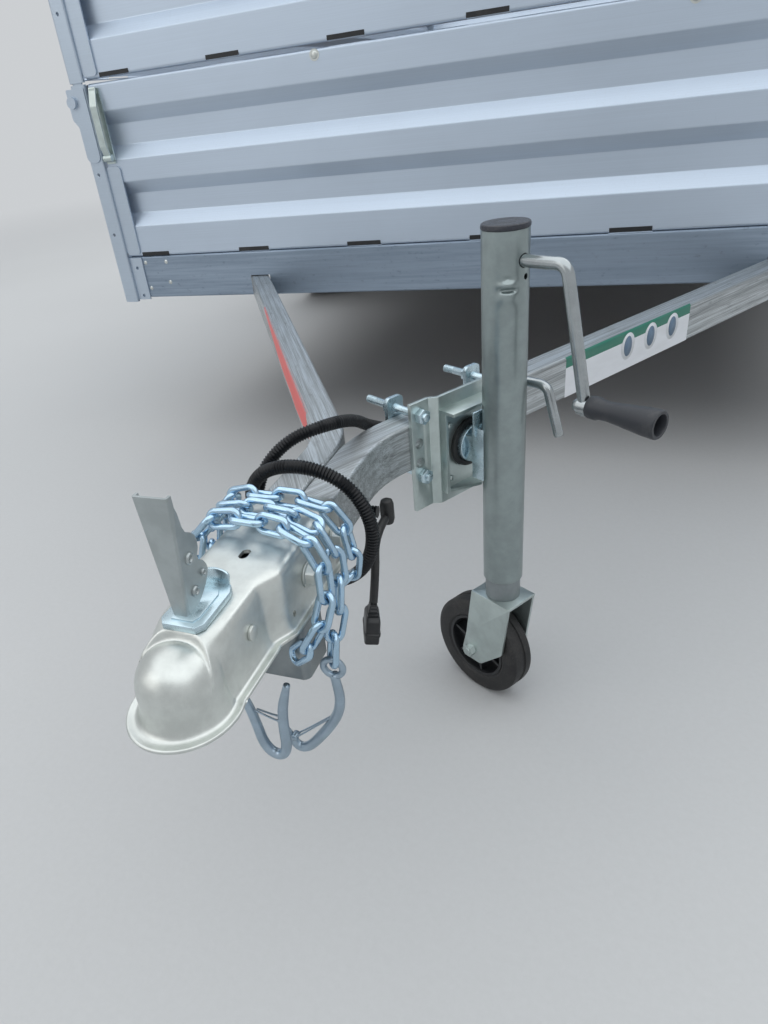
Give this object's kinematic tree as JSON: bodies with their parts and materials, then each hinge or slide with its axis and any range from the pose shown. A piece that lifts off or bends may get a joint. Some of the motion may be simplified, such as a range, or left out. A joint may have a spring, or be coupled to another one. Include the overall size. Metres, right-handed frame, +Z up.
{
  "type": "utility trailer",
  "caption": "Galvanised box trailer with ribbed drop boards and raised extension boards, bent twin-tube drawbar, pressed ball coupler, wound safety chains and a swing-up jockey wheel",
  "frame": {"origin": "middle of the bounding box on the ground under the wheels", "axes": "X lateral with the trailer's right side positive, Y from the coupler towards the tailgate, Z up from the ground"},
  "size_m": [2.392, 4.4294, 1.2445],
  "materials": {
    "galvanised": "hot-dip galvanised, dulled",
    "galvanised_board": "galvanised sheet with a cool sheen",
    "plywood": "dark resin-faced plywood",
    "zinc_plate": "bright zinc plate",
    "blue_zinc": "blue-passivated zinc",
    "black_steel": "satin black",
    "wheel_steel": "silver wheel paint",
    "tyre": "dusty tyre rubber",
    "black_rubber": "matt rubber",
    "black_plastic": "matt black plastic",
    "red_lens": "moulded red lens"
  },
  "bodies": {
    "chassis": {"drawbar_left": "galvanised", "drawbar_right": "galvanised", "front_beam": "galvanised", "rear_beam": "galvanised", "side_rails": "galvanised", "cross_members": "galvanised", "axle_beam": "galvanised", "plate_holder": "galvanised", "corner_posts": "galvanised", "upper_posts": "galvanised", "end_strips": "galvanised", "tailgate_hinges": "galvanised", "latch_keepers": "galvanised", "mudguards": "galvanised", "front_board": "galvanised_board", "upper_front_board": "galvanised_board", "side_board_left": "galvanised_board", "side_board_right": "galvanised_board", "upper_side_board_left": "galvanised_board", "upper_side_board_right": "galvanised_board", "floor_panel": "plywood", "coupler_shell": "zinc_plate", "coupler_cap": "zinc_plate", "coupler_lever": "zinc_plate", "coupler_bolts": "zinc_plate", "ball_clamp": "zinc_plate", "jack_mount": "zinc_plate", "jack_clamps": "zinc_plate", "front_latches": "zinc_plate", "safety_chains": "blue_zinc", "chain_hooks": "blue_zinc", "axle_arms": "black_steel", "chain_plate": "black_steel", "loom_conduit": "black_plastic", "loom_cable": "black_plastic", "loom_plug": "black_plastic", "lamp_housings": "black_plastic", "loom_joint": "black_plastic", "lamp_lenses": "red_lens"},
    "wheel_left": {"road_tyre_left": "tyre", "road_rim_left": "wheel_steel"},
    "wheel_right": {"road_tyre_right": "tyre", "road_rim_right": "wheel_steel"},
    "tailgate": {"tailgate_board": "galvanised_board", "tailgate_straps": "galvanised", "tailgate_latches": "zinc_plate"},
    "upper_gate": {"upper_tailgate": "galvanised_board"},
    "jack_arm": {"jack_swivel": "zinc_plate", "pull_pin": "zinc_plate", "jack_tube": "galvanised", "jack_cap": "black_plastic", "jack_crank": "zinc_plate", "crank_grip": "black_rubber"},
    "jack_stem": {"jack_leg": "galvanised"},
    "jack_caster": {"jack_fork": "galvanised"},
    "jockey_wheel": {"jockey_tyre": "black_rubber", "jockey_core": "black_plastic"}
  },
  "joints": [
    {"name": "wheel_left_spin", "type": "hinge", "parent": "chassis", "child": "wheel_left", "pos_m": [-1.0915, 0.76342, 0.297], "axis": [1, 0, 0], "continuous": true},
    {"name": "wheel_right_spin", "type": "hinge", "parent": "chassis", "child": "wheel_right", "pos_m": [1.0915, 0.76342, 0.297], "axis": [1, 0, 0], "continuous": true},
    {"name": "tailgate_drop", "type": "hinge", "parent": "chassis", "child": "tailgate", "pos_m": [0, 2.2057, 0.486], "axis": [-1, 0, 0], "range_deg": [0, 180]},
    {"name": "upper_gate_swing", "type": "hinge", "parent": "chassis", "child": "upper_gate", "pos_m": [0, 2.1757, 1.2305], "axis": [1, 0, 0], "range_deg": [0, 90]},
    {"name": "jack_swing", "type": "hinge", "parent": "chassis", "child": "jack_arm", "pos_m": [0.12463, -1.67346, 0.392], "axis": [0.8545, -0.5195, 0], "range_deg": [0, 60]},
    {"name": "jack_wind", "type": "slide", "parent": "jack_arm", "child": "jack_stem", "axis": [0, 0, -1], "range_m": [-0.025, 0.15]},
    {"name": "jack_caster_turn", "type": "hinge", "parent": "jack_stem", "child": "jack_caster", "pos_m": [0.17334, -1.70307, 0.183], "axis": [0, 0, 1], "continuous": true},
    {"name": "jockey_wheel_spin", "type": "hinge", "parent": "jack_caster", "child": "jockey_wheel", "pos_m": [0.14258, -1.68437, 0.076], "axis": [0.5195, 0.8545, 0], "continuous": true}
  ]
}
